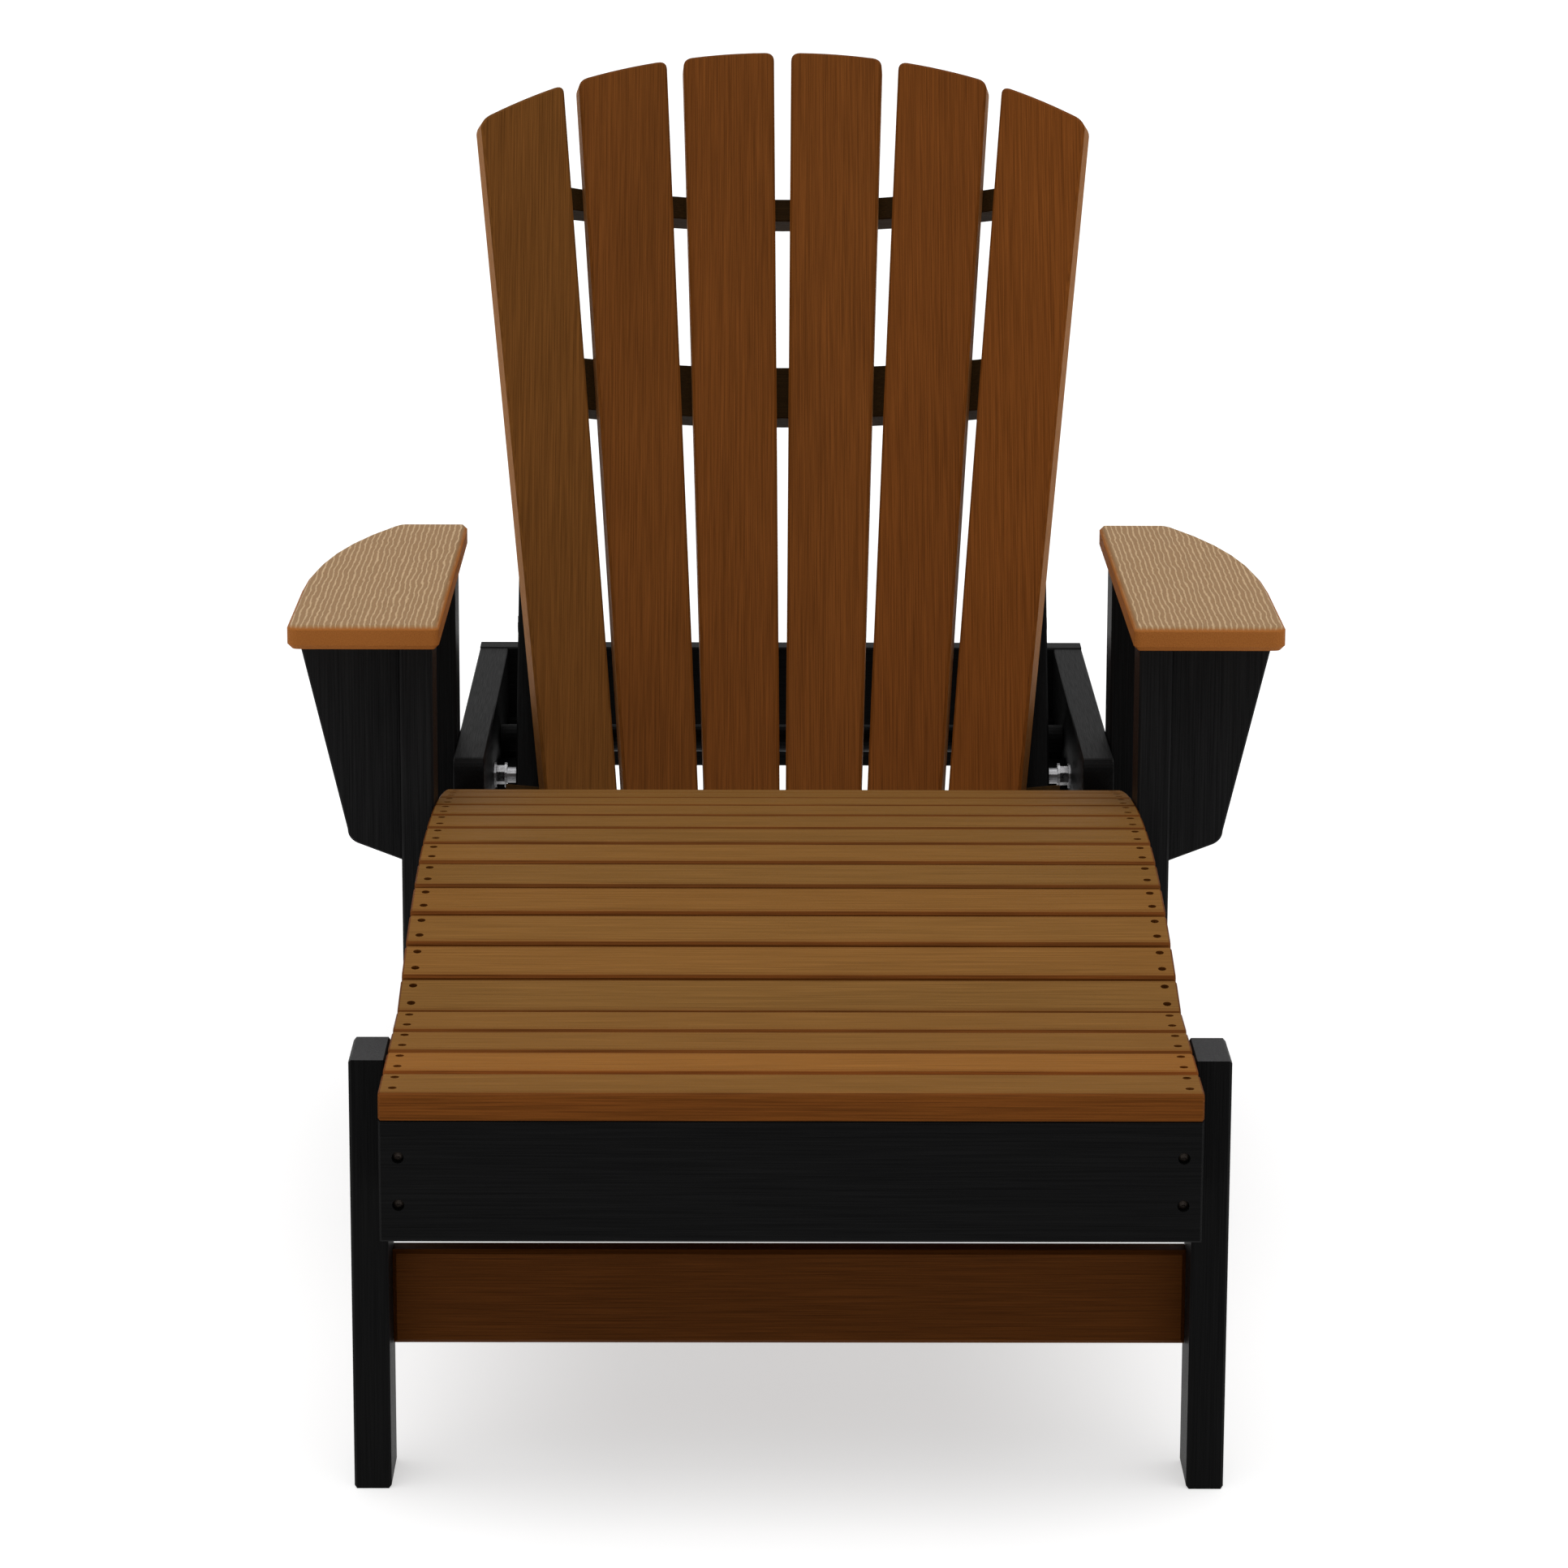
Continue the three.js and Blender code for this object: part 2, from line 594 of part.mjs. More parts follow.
// A cross rail sawn to the curve of the back, with a flat for each slat in front and housed behind
// over the stiles. Its ends stop short of the fan's edges, but always reach past the stiles.
function backRail(bottom, height) {
  const level = bottom + height / 2;
  const front = [];
  for (const order of slatOrders) {
    for (const sign of [-1, 1]) {
      front.push(onSlatBack(order, fanMiddle(order, level) + sign * fanHalf(level), GAP));
    }
  }
  const last = front.length - 1;
  const endX = Math.max(STILE_X + RAIL_EAR, front[last].x - RAIL_END_INSET);
  const endSlope = (front[last].y - front[last - 1].y) / (front[last].x - front[last - 1].x);
  const endY = front[last].y + (endX - front[last].x) * endSlope;
  front[0].set(-endX, endY);
  front[last].set(endX, endY);
  const shape = new THREE.Shape(front);
  const rearRadius = BACK_RADIUS + BACK_RAIL_DEPTH;
  const rearStart = Math.acos(endX / rearRadius);
  shape.absarc(0, fanAxisY, rearRadius, rearStart, Math.PI - rearStart, false);
  const board = plate(shape, height, 1).translate(0, 0, bottom);
  const housings = SIDES.map(([, side]) => {
    const housing = new THREE.BoxGeometry(LUMBER + 2 * GAP, STILE_WIDTH + 2 * GAP, 2 * height);
    return housing.translate(side * STILE_MIDDLE_X, 0, level);
  });
  return cut(board, housings);
}

addNode('back_rail_bottom', backRail(BOTTOM_RAIL_LOW, CROSS_RAIL_HEIGHT), brown, back);
addNode('back_rail_mid', backRail(MID_RAIL_LOW, MID_RAIL_HEIGHT), brown, back);
addNode('back_rail_top', backRail(TOP_RAIL_LOW, CROSS_RAIL_HEIGHT), brown, back);

function stile(side) {
  const half = STILE_WIDTH / 2;
  const outline = rectangle(-half, STILE_BOTTOM, half, STILE_TOP);
  const board = alongX(plate(outline, LUMBER), LUMBER, side * STILE_MIDDLE_X);
  const ends = [side * (STILE_INNER_X - OVERRUN), side * (STILE_X + OVERRUN)];
  return cut(board, [
    rodX(BOLT_R + GAP, ...ends, 0, 0),
    rodX(BOLT_R + GAP, ...ends, 0, PROP_PIVOT),
  ]);
}

for (const [tag, side] of SIDES) {
  addNode(`back_stile_${tag}`, stile(side), black, back);
}

// ---------------------------------------------------------------- pivot bolts

// A round-headed bolt through rail and stile, with its nut inside the stile.
function pivotBolt(side) {
  const head = HALF_FRAME + GAP;
  const nut = STILE_INNER_X - GAP;
  return join([
    rodX(BOLT_HEAD_R, side * head, side * (head + BOLT_HEAD), 0, 0, 16),
    rodX(BOLT_R, side * (head + MERGE), side * (nut - WASHER - NUT - BOLT_TAIL), 0, 0),
    rodX(WASHER_R, side * nut, side * (nut - WASHER), 0, 0, 16),
    rodX(NUT_R, side * (nut - WASHER + MERGE), side * (nut - WASHER - NUT), 0, 0, 6),
  ]);
}

// What fills the space between rail and stile on the bolt: washer, nut, washer and sleeve.
function pivotSpacer(side) {
  const outer = RAIL_INNER_X - GAP;
  const inner = STILE_X + GAP;
  const nutFrom = outer - WASHER;
  const nutTo = nutFrom - NUT;
  const bore = rodX(BOLT_R + GAP, side * (inner - OVERRUN), side * (outer + OVERRUN), 0, 0);
  const stack = join([
    rodX(WASHER_R, side * outer, side * nutFrom, 0, 0, 16),
    rodX(NUT_R, side * (nutFrom + MERGE), side * nutTo, 0, 0, 6),
    rodX(WASHER_R, side * (nutTo + MERGE), side * (nutTo - WASHER), 0, 0, 16),
    rodX(SLEEVE_R, side * (nutTo - WASHER + MERGE), side * inner, 0, 0, 16),
  ]);
  return cut(stack, [bore]);
}

for (const [tag, side] of SIDES) {
  addNode(`pivot_bolt_${tag}`, pivotBolt(side), steel).position.set(0, PIVOT_Y, PIVOT_Z);
  addNode(`pivot_spacer_${tag}`, pivotSpacer(side), steel).position.set(0, PIVOT_Y, PIVOT_Z);
}

// ---------------------------------------------------------------- prop

// The prop hangs from the stiles, and leans back by the angle that puts its bar on the racks.
function propLean(recline) {
  return Math.acos((PROP_PIVOT * Math.cos(recline) - BAR_LEVEL) / PROP_LENGTH);
}

function barReach(recline) {
  return PROP_PIVOT * Math.sin(recline) + PROP_LENGTH * Math.sin(propLean(recline));
}

// In the prop's own frame its pivot is the origin and the bar is straight below it.
const prop = new THREE.Group();
const restRecline = rad(RECLINE);
prop.position.set(
  0,
  PIVOT_Y + PROP_PIVOT * Math.sin(restRecline),
  PIVOT_Z + PROP_PIVOT * Math.cos(restRecline),
);
prop.rotation.x = propLean(restRecline);
chair.add(prop);

const propOuterX = STILE_INNER_X - GAP;
const propMiddleX = propOuterX - PROP_THICK / 2;

function propLeg(side) {
  const half = PROP_WIDTH / 2;
  const shape = new THREE.Shape();
  shape.absarc(0, 0, half, 0, Math.PI, false);
  shape.absarc(0, -PROP_LENGTH, half, Math.PI, 2 * Math.PI, false);
  const board = alongX(plate(shape, PROP_THICK), PROP_THICK, side * propMiddleX);
  const ends = [side * (propOuterX - PROP_THICK - OVERRUN), side * (propOuterX + OVERRUN)];
  return cut(board, [
    rodX(BOLT_R + GAP, ...ends, 0, 0),
    rodX(BAR_R + GAP, ...ends, 0, -PROP_LENGTH, 20),
  ]);
}

// The pin through a stile and a prop leg, with a low head outside and a nut inside.
function propPin(side) {
  const head = STILE_X + GAP;
  const tail = propOuterX - PROP_THICK - GAP;
  return join([
    rodX(PIN_HEAD_R, side * head, side * (head + PIN_HEAD), 0, 0, 16),
    rodX(BOLT_R, side * (head + MERGE), side * (tail - PIN_NUT - PIN_TAIL), 0, 0),
    rodX(NUT_R, side * tail, side * (tail - PIN_NUT), 0, 0, 6),
  ]);
}

for (const [tag, side] of SIDES) {
  addNode(`prop_leg_${tag}`, propLeg(side), black, prop);
  addNode(`prop_pin_${tag}`, propPin(side), steel, prop);
}

const barHalf = RAIL_INNER_X - BAR_END_GAP;
addNode('prop_bar', rodX(BAR_R, -barHalf, barHalf, 0, -PROP_LENGTH, 20), black, prop);

// ---------------------------------------------------------------- racks

// A rack screwed inside a rail, with half-round notches at even steps over the bar's travel.
function rack(side) {
  const top = PIVOT_Z + BAR_LEVEL - BAR_R - BAR_RISE;
  const first = barReach(restRecline);
  const last = barReach(rad(RECLINE_MAX));
  const step = (last - first) / (NOTCH_COUNT - 1);
  const frontY = PIVOT_Y + first - NOTCH_R - RACK_FRONT_END;
  const rearY = PIVOT_Y + last + NOTCH_R + RACK_REAR_END;
  const shape = new THREE.Shape();
  shape.moveTo(frontY, top - RACK_HEIGHT);
  shape.lineTo(rearY, top - RACK_HEIGHT);
  shape.lineTo(rearY, top);
  for (let notch = NOTCH_COUNT - 1; notch >= 0; notch -= 1) {
    const y = PIVOT_Y + first + notch * step;
    shape.lineTo(y + NOTCH_R, top);
    shape.absarc(y, top, NOTCH_R, 0, Math.PI, true);
  }
  shape.lineTo(frontY, top);
  const middle = RAIL_INNER_X - GAP - RACK_THICK / 2;
  return alongX(plate(shape, RACK_THICK, 1), RACK_THICK, side * middle);
}

for (const [tag, side] of SIDES) {
  addNode(`rack_${tag}`, rack(side), black);
}

// ---------------------------------------------------------------- origin on the floor, under the middle

const box = new THREE.Box3().setFromObject(chair, true);
chair.position.y = -(box.min.y + box.max.y) / 2;

export default chair;
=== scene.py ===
import math

import bmesh
import bpy
from mathutils import Matrix, Vector


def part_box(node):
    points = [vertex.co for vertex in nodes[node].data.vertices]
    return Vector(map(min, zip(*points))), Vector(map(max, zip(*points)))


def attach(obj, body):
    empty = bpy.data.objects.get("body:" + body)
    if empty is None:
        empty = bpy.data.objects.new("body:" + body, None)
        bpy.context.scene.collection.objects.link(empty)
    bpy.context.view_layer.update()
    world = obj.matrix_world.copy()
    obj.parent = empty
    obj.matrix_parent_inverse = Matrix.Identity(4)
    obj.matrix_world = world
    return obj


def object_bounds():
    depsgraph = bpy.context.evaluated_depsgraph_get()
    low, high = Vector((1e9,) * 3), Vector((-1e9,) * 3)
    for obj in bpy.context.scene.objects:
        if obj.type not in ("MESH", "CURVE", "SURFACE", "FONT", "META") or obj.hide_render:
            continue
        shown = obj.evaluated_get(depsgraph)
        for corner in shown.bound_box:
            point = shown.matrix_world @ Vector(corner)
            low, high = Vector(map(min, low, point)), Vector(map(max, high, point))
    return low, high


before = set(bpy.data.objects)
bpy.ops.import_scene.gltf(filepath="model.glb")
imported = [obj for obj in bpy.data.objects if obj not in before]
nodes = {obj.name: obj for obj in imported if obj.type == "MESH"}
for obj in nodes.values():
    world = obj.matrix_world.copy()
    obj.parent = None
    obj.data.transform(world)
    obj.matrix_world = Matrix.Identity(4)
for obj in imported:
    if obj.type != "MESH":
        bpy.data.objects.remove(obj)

cad_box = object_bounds()


# ------------------------------------------------------------------ seat slats
# Nineteen flat slats of brown plastic lumber, extruded with their top edges rounded over and a fine
# grain drawn along them. Each is screwed down to the frame, and no two batches are quite one brown.

def new_group(name, inputs, outputs):
    """An empty shader group with named float or vector inputs and float outputs."""
    group = bpy.data.node_groups.new(name, "ShaderNodeTree")
    for label, kind, value in inputs:
        socket = group.interface.new_socket(label, in_out="INPUT", socket_type=kind)
        if value is not None:
            socket.default_value = value
    for label in outputs:
        group.interface.new_socket(label, in_out="OUTPUT", socket_type="NodeSocketFloat")
    return group, group.nodes.new("NodeGroupInput"), group.nodes.new("NodeGroupOutput")


def stretched_noise(tree, vector, stretch, scale, detail):
    """Noise drawn out along X: stretch is how much longer than wide its marks are."""
    squeeze = tree.nodes.new("ShaderNodeVectorMath")
    squeeze.operation = "MULTIPLY"
    squeeze.inputs[1].default_value = (1.0 / stretch, 1.0, 1.0)
    tree.links.new(vector, squeeze.inputs[0])
    noise = tree.nodes.new("ShaderNodeTexNoise")
    noise.inputs["Scale"].default_value = scale
    noise.inputs["Detail"].default_value = detail
    noise.inputs["Roughness"].default_value = 0.6
    tree.links.new(squeeze.outputs[0], noise.inputs["Vector"])
    return noise.outputs["Fac"]


def math_node(tree, operation, first, second):
    """A Math node whose two inputs are sockets or numbers."""
    node = tree.nodes.new("ShaderNodeMath")
    node.operation = operation
    for socket, value in zip(node.inputs, (first, second)):
        if isinstance(value, (int, float)):
            socket.default_value = value
        else:
            tree.links.new(value, socket)
    return node.outputs[0]


def spread(tree, value, low, high):
    """Stretches a mask so that low becomes 0 and high becomes 1."""
    node = tree.nodes.new("ShaderNodeMapRange")
    node.inputs["From Min"].default_value = low
    node.inputs["From Max"].default_value = high
    tree.links.new(value, node.inputs["Value"])
    return node.outputs["Result"]


# Each kind of mark: how much longer than wide it is, its scale and its detail.
STREAKS = (90.0, 950.0, 3.0)
SCORING = (60.0, 1500.0, 2.0)
CLOUDS = (5.0, 14.0, 2.0)
CLOUD_SHARE = 0.5


def make_drawn_grain():
    """The marks that an extruder leaves along X on plastic lumber.

    Shade runs from dark to light streaks over slow clouds, Sheen follows the fine scoring, and
    Height is the relief of both.
    """
    group, start, end = new_group(
        "drawn grain",
        [("Vector", "NodeSocketVector", None)],
        ("Shade", "Sheen", "Height"),
    )
    vector = start.outputs["Vector"]
    streaks = stretched_noise(group, vector, *STREAKS)
    scoring = stretched_noise(group, vector, *SCORING)
    drift = math_node(group, "MULTIPLY_ADD", stretched_noise(group, vector, *CLOUDS), CLOUD_SHARE)
    drift.node.inputs[2].default_value = -CLOUD_SHARE / 2
    shade = math_node(group, "ADD", spread(group, streaks, 0.33, 0.67), drift)
    group.links.new(shade, end.inputs["Shade"])
    group.links.new(spread(group, scoring, 0.25, 0.75), end.inputs["Sheen"])
    group.links.new(math_node(group, "ADD", streaks, scoring), end.inputs["Height"])
    return group


drawn_grain = make_drawn_grain()

# Turns that lay each run of the grain along X for the group above.
BACK_TILT = math.radians(30)
ALONG_X = (0.0, 0.0, 0.0)
ALONG_Y = (0.0, 0.0, -math.pi / 2)
ALONG_Z = (0.0, math.pi / 2, 0.0)
UP_THE_BACK = (BACK_TILT, math.pi / 2, 0.0)


def mixed_colour(tree, factor, dark, light):
    """A Mix node from one colour to another; dark and light are colours or sockets."""
    mix = tree.nodes.new("ShaderNodeMix")
    mix.data_type = "RGBA"
    tree.links.new(factor, mix.inputs["Factor"])
    for socket, value in ((mix.inputs["A"], dark), (mix.inputs["B"], light)):
        if isinstance(value, bpy.types.NodeSocket):
            tree.links.new(value, socket)
        else:
            socket.default_value = (*value, 1.0)
    return mix.outputs["Result"]


def ranged(tree, shader, sheen, smooth, rough):
    """Turns a mask from 0 to 1 into the shader's roughness, from smooth to rough."""
    value = spread(tree, sheen, 0.0, 1.0)
    value.node.inputs["To Min"].default_value = smooth
    value.node.inputs["To Max"].default_value = rough
    tree.links.new(value, shader.inputs["Roughness"])


def raised(tree, shader, height, distance):
    """Feeds a height through a Bump node into the shader's normal."""
    bump = tree.nodes.new("ShaderNodeBump")
    bump.inputs["Distance"].default_value = distance
    tree.links.new(height, bump.inputs["Height"])
    tree.links.new(bump.outputs["Normal"], shader.inputs["Normal"])


SHEEN_SPREAD = 0.08


def plastic_lumber(name, dark, light, grain, roughness=0.5, gloss=0.02, relief=0.00025):
    """Plastic lumber with its grain running one way: streaked colour, scored relief, uneven sheen."""
    material = bpy.data.materials.new(name)
    material.use_nodes = True
    tree = material.node_tree
    shader = tree.nodes["Principled BSDF"]
    shader.inputs["Specular IOR Level"].default_value = gloss
    coordinates = tree.nodes.new("ShaderNodeTexCoord")
    turn = tree.nodes.new("ShaderNodeMapping")
    turn.inputs["Rotation"].default_value = grain
    tree.links.new(coordinates.outputs["Object"], turn.inputs["Vector"])
    marks = tree.nodes.new("ShaderNodeGroup")
    marks.node_tree = drawn_grain
    tree.links.new(turn.outputs["Vector"], marks.inputs["Vector"])
    tree.links.new(mixed_colour(tree, marks.outputs["Shade"], dark, light), shader.inputs["Base Color"])
    ranged(tree, shader, marks.outputs["Sheen"], roughness - SHEEN_SPREAD, roughness + SHEEN_SPREAD)
    raised(tree, shader, marks.outputs["Height"], relief)
    return material


def toned(colour, factor, warmth=0.0):
    """A colour made lighter or darker, and warmer by a share of its blue and green."""
    red, green, blue = colour
    return (red * factor * (1 + warmth), green * factor, blue * factor * (1 - warmth))


SHARPEST_SMOOTH_EDGE = math.radians(30)


def make_soft_shading():
    """A modifier group that shades curved faces smoothly and keeps the sharper edges sharp."""
    group = bpy.data.node_groups.new("soft shading", "GeometryNodeTree")
    group.interface.new_socket("Geometry", in_out="INPUT", socket_type="NodeSocketGeometry")
    group.interface.new_socket("Geometry", in_out="OUTPUT", socket_type="NodeSocketGeometry")
    start = group.nodes.new("NodeGroupInput")
    end = group.nodes.new("NodeGroupOutput")
    faces = group.nodes.new("GeometryNodeSetShadeSmooth")
    edges = group.nodes.new("GeometryNodeSetShadeSmooth")
    edges.domain = "EDGE"
    angle = group.nodes.new("GeometryNodeInputMeshEdgeAngle")
    shallow = group.nodes.new("FunctionNodeCompare")
    shallow.operation = "LESS_THAN"
    shallow.inputs["B"].default_value = SHARPEST_SMOOTH_EDGE
    group.links.new(start.outputs[0], faces.inputs["Geometry"])
    group.links.new(faces.outputs[0], edges.inputs["Geometry"])
    group.links.new(angle.outputs["Unsigned Angle"], shallow.inputs["A"])
    group.links.new(shallow.outputs[0], edges.inputs["Shade Smooth"])
    group.links.new(edges.outputs[0], end.inputs[0])
    return group


soft_shading = make_soft_shading()


SHALLOWEST_EASED_EDGE = math.radians(28)
EASED_EDGE = 0.0008


def finish(name, material, ease=EASED_EDGE):
    """Gives a node its material and eases its sawn edges with a small bevel."""
    piece = nodes[name]
    piece.data.materials.clear()
    piece.data.materials.append(material)
    bevel = piece.modifiers.new("eased edges", "BEVEL")
    bevel.width = ease
    bevel.segments = 2
    bevel.limit_method = "ANGLE"
    bevel.angle_limit = SHALLOWEST_EASED_EDGE
    smooth = piece.modifiers.new("soft shading", "NODES")
    smooth.node_group = soft_shading


BROWN_DARK = (0.082, 0.0245, 0.0038)
BROWN_LIGHT = (0.146, 0.0450, 0.0078)
FACE_DARK = (0.142, 0.064, 0.0145)
FACE_LIGHT = (0.214, 0.099, 0.0250)
SLAT_TONES = {"plain": (1.0, 0.0), "orange": (1.12, 0.12), "dull": (0.95, -0.03), "deep": (0.98, 0.03)}


def make_facing_mask():
    """One where the surface looks along Direction, fading to nought as its likeness falls to Start."""
    group, start, end = new_group(
        "facing mask",
        [("Direction", "NodeSocketVector", (0.0, 0.0, 1.0)), ("Start", "NodeSocketFloat", 0.93)],
        ("Mask",),
    )
    surface = group.nodes.new("ShaderNodeNewGeometry")
    likeness = group.nodes.new("ShaderNodeVectorMath")
    likeness.operation = "DOT_PRODUCT"
    group.links.new(surface.outputs["Normal"], likeness.inputs[0])
    group.links.new(start.outputs["Direction"], likeness.inputs[1])
    mask = spread(group, likeness.outputs["Value"], 0.0, 0.995)
    group.links.new(start.outputs["Start"], mask.node.inputs["From Min"])
    group.links.new(mask, end.inputs["Mask"])
    return group


facing_mask = make_facing_mask()


def paler_face(material, dark, light, up=Vector((0, 0, 1)), start=0.93):
    """Gives the faces that look one way a paler colour, and leaves the rounded edges as they are.

    Start is how nearly a face must look that way before it begins to pale.
    """
    tree = material.node_tree
    shader = tree.nodes["Principled BSDF"]
    plain = shader.inputs["Base Color"].links[0].from_socket
    shade = plain.node.inputs["Factor"].links[0].from_socket
    facing = tree.nodes.new("ShaderNodeGroup")
    facing.node_tree = facing_mask
    facing.inputs["Direction"].default_value = up
    facing.inputs["Start"].default_value = start
    face = mixed_colour(tree, shade, dark, light)
    tree.links.new(mixed_colour(tree, facing.outputs["Mask"], plain, face), shader.inputs["Base Color"])
    return material


MOSTLY_UP = 0.9


def slat_up(name):
    """The direction that a slat's top face looks in."""
    up = Vector()
    for face in nodes[name].data.polygons:
        if face.normal.z > MOSTLY_UP:
            up += face.normal * face.area
    return up.normalized()


def slat_material(name, tone):
    """A slat's own brown: orange-brown along its rounded edges, paler on its grained top face."""
    values = SLAT_TONES[tone]
    brown = plastic_lumber(f"brown_{name}", toned(BROWN_DARK, *values), toned(BROWN_LIGHT, *values), ALONG_X)
    return paler_face(brown, toned(FACE_DARK, *values), toned(FACE_LIGHT, *values), slat_up(name))


slat_order = ("plain", "orange", "plain", "plain", "dull", "deep", "plain", "deep", "dull", "plain")
seat_slats = [f"seat_slat_{number:02d}" for number in range(1, 19)] + ["seat_slat_rear"]
for number, name in enumerate(seat_slats):
    tone = slat_order[number] if number < len(slat_order) else "dull"
    finish(name, slat_material(name, tone), ease=0.0006)


# ------------------------------------------------------------------ seat and apron screws
# Dark coated pan-head screws with a square drive, sunk below the surface in their recesses:
# four in every seat slat, and two in each end of the front apron.

SLAT_SCREW_RADIUS = 0.0030
APRON_SCREW_RADIUS = 0.0040
SCREW_DOME = 0.0014
SCREW_SIDES = 16
SOCKET_HALF = 0.0011
CLEARANCE = 0.0002
RECESS_DEPTH = 0.006
SLAT_SCREW_STEP = 0.014
SLAT_SCREW_INSET = 0.010
APRON_SCREW_STEP = 0.018
APRON_SCREW_INSET = 0.014


def add_screw(mesh, place, radius):
    """A domed head with a square socket, its rim at z = 0 of the given placing."""
    angles = [math.tau * side / SCREW_SIDES for side in range(SCREW_SIDES)]
    rings = []
    for share in (1.0, 0.86, 0.62):
        rise = SCREW_DOME * math.sqrt(1 - share * share)
        rings.append([(radius * share * math.cos(a), radius * share * math.sin(a), rise) for a in angles])
    for level in (SCREW_DOME, CLEARANCE):
        reaches = [SOCKET_HALF / max(abs(math.cos(a)), abs(math.sin(a))) for a in angles]
        rings.append([(out * math.cos(a), out * math.sin(a), level) for out, a in zip(reaches, angles)])
    loops = [[mesh.verts.new(place @ Vector(point)) for point in ring] for ring in rings]
    for lower, upper in zip(loops, loops[1:]):
        for side in range(SCREW_SIDES):
            following = (side + 1) % SCREW_SIDES
            mesh.faces.new((lower[side], lower[following], upper[following], upper[side]))
    mesh.faces.new(loops[-1])


def screw_places_on_slat(name):
    """Where the four screws of a slat sit, found from the slat's own top face."""
    mesh = nodes[name].data
    up = slat_up(name)
    across = up.cross(Vector((1, 0, 0))).normalized()
    low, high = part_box(name)
    middle = (Vector(low) + Vector(high)) / 2
    top = max(v.co.dot(up) for v in mesh.vertices)
    centre = middle + up * (top - middle.dot(up))
    reach = high[0] - SLAT_SCREW_INSET
    turn = Matrix((Vector((1, 0, 0)), across, up)).transposed().to_4x4()
    for x in (-reach, reach):
        for step in (-SLAT_SCREW_STEP, SLAT_SCREW_STEP):
            spot = centre + Vector((x, 0, 0)) + across * step - up * (RECESS_DEPTH - CLEARANCE)
            yield Matrix.Translation(spot) @ turn


def apron_screw_places():
    """The four screws of the front apron, facing the foot end."""
    low, high = (Vector(corner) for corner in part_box("front_apron"))
    turn = Matrix.Rotation(math.pi / 2, 4, "X")
    for x in (low.x + APRON_SCREW_INSET, high.x - APRON_SCREW_INSET):
        for step in (-APRON_SCREW_STEP, APRON_SCREW_STEP):
            spot = Vector((x, low.y + RECESS_DEPTH - CLEARANCE, (low.z + high.z) / 2 + step))
            yield Matrix.Translation(spot) @ turn


SCREW_DARK = (0.018, 0.013, 0.010)
SCREW_LIGHT = (0.05, 0.038, 0.03)


def make_metal_mottle():
    """Fine uneven patches, as on coated or plated metal, with a sharper mask of them for the sheen."""
    group, start, end = new_group(
        "metal mottle",
        [
            ("Vector", "NodeSocketVector", None),
            ("Scale", "NodeSocketFloat", 260.0),
            ("Detail", "NodeSocketFloat", 2.0),
        ],
        ("Patches", "Sheen"),
    )
    noise = group.nodes.new("ShaderNodeTexNoise")
    for label in ("Vector", "Scale", "Detail"):
        group.links.new(start.outputs[label], noise.inputs[label])
    group.links.new(noise.outputs["Fac"], end.inputs["Patches"])
    group.links.new(spread(group, noise.outputs["Fac"], 0.3, 0.7), end.inputs["Sheen"])
    return group


metal_mottle = make_metal_mottle()


def mottled_metal(name, dark, light, scale, detail, smooth, rough, metallic, relief):
    """Metal with fine uneven patches in its tone, its polish and its relief."""
    material = bpy.data.materials.new(name)
    material.use_nodes = True
    tree = material.node_tree
    shader = tree.nodes["Principled BSDF"]
    shader.inputs["Metallic"].default_value = metallic
    coordinates = tree.nodes.new("ShaderNodeTexCoord")
    mottle = tree.nodes.new("ShaderNodeGroup")
    mottle.node_tree = metal_mottle
    mottle.inputs["Scale"].default_value = scale
    mottle.inputs["Detail"].default_value = detail
    tree.links.new(coordinates.outputs["Object"], mottle.inputs["Vector"])
    tree.links.new(mixed_colour(tree, mottle.outputs["Patches"], dark, light), shader.inputs["Base Color"])
    ranged(tree, shader, mottle.outputs["Sheen"], smooth, rough)
    raised(tree, shader, mottle.outputs["Patches"], relief)
    return material


def object_from(mesh, name, material):
    """Closes a bmesh into a named object in the scene."""
    data = bpy.data.meshes.new(name)
    bmesh.ops.recalc_face_normals(mesh, faces=mesh.faces)
    mesh.to_mesh(data)
    mesh.free()
    data.materials.append(material)
    piece = bpy.data.objects.new(name, data)
    bpy.context.scene.collection.objects.link(piece)
    return piece


screw_metal = mottled_metal(
    "coated_screw", SCREW_DARK, SCREW_LIGHT, scale=900.0, detail=2.0,
    smooth=0.35, rough=0.6, metallic=0.7, relief=0.00006)
slat_screws = bmesh.new()
for name in seat_slats:
    for place in screw_places_on_slat(name):
        add_screw(slat_screws, place, SLAT_SCREW_RADIUS)
slat_screws = object_from(slat_screws, "seat_screws", screw_metal)
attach(slat_screws, "frame")

apron_screws = bmesh.new()
for place in apron_screw_places():
    add_screw(apron_screws, place, APRON_SCREW_RADIUS)
apron_screws = object_from(apron_screws, "apron_screws", screw_metal)
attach(apron_screws, "frame")


# ------------------------------------------------------------------ front stretcher
# A brown board of the same lumber as the slats, set on edge between the front legs below the apron.
# It stands in the shade of the seat, and that shade is painted into it as a darker brown.

# Painted shade: the stretcher's brown is darkened to stand in for the shade under the seat.
STRETCHER_PAINTED_SHADE = 0.58
stretcher_brown_painted_shade = plastic_lumber(
    "stretcher_brown_painted_shade", toned(BROWN_DARK, STRETCHER_PAINTED_SHADE), toned(BROWN_LIGHT, STRETCHER_PAINTED_SHADE), ALONG_X)
finish("front_stretcher", stretcher_brown_painted_shade, ease=0.001)
